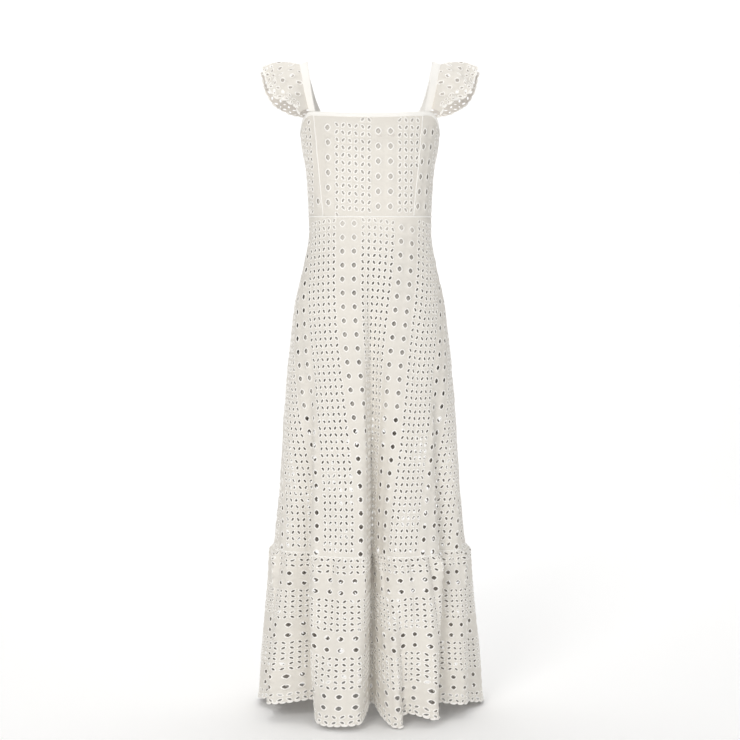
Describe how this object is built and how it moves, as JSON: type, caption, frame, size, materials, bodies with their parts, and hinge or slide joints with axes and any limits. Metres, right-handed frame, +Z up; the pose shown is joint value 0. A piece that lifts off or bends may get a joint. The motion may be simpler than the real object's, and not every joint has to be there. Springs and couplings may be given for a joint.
{
  "type": "lace dress",
  "caption": "Long white eyelet lace dress with a square neck, ruffled shoulder straps, a fitted bodice, a flared skirt over a shorter lining and a gathered flounce.",
  "frame": {"origin": "between the shoulders, level with the highest point of the two straps, where the wearer's shoulders hold the dress up", "axes": "+Z up, front of the dress towards -Y, wearer's left towards +X"},
  "size_m": [0.4979, 0.4275, 1.3876],
  "materials": {
    "cotton_eyelet": "matte embroidered cotton",
    "cotton_lining": "matte plain cotton",
    "cotton_band": "matte plain cotton",
    "zip_tape": "matte"
  },
  "bodies": {
    "root": {"bodice_centre_front": "cotton_eyelet", "bodice_side_front_left": "cotton_eyelet", "bodice_side_front_right": "cotton_eyelet", "bodice_back_left": "cotton_eyelet", "bodice_back_right": "cotton_eyelet", "skirt_front": "cotton_eyelet", "skirt_back_left": "cotton_eyelet", "skirt_back_right": "cotton_eyelet", "flounce_front": "cotton_eyelet", "flounce_back": "cotton_eyelet", "ruffle_left": "cotton_eyelet", "ruffle_right": "cotton_eyelet", "lining_bodice_front": "cotton_lining", "lining_bodice_back": "cotton_lining", "lining_skirt_front": "cotton_lining", "lining_skirt_back": "cotton_lining", "neck_band_front": "cotton_band", "neck_band_back_left": "cotton_band", "neck_band_back_right": "cotton_band", "armhole_band_left": "cotton_band", "armhole_band_right": "cotton_band", "strap_left": "cotton_band", "strap_right": "cotton_band", "back_zip": "zip_tape"}
  },
  "joints": []
}
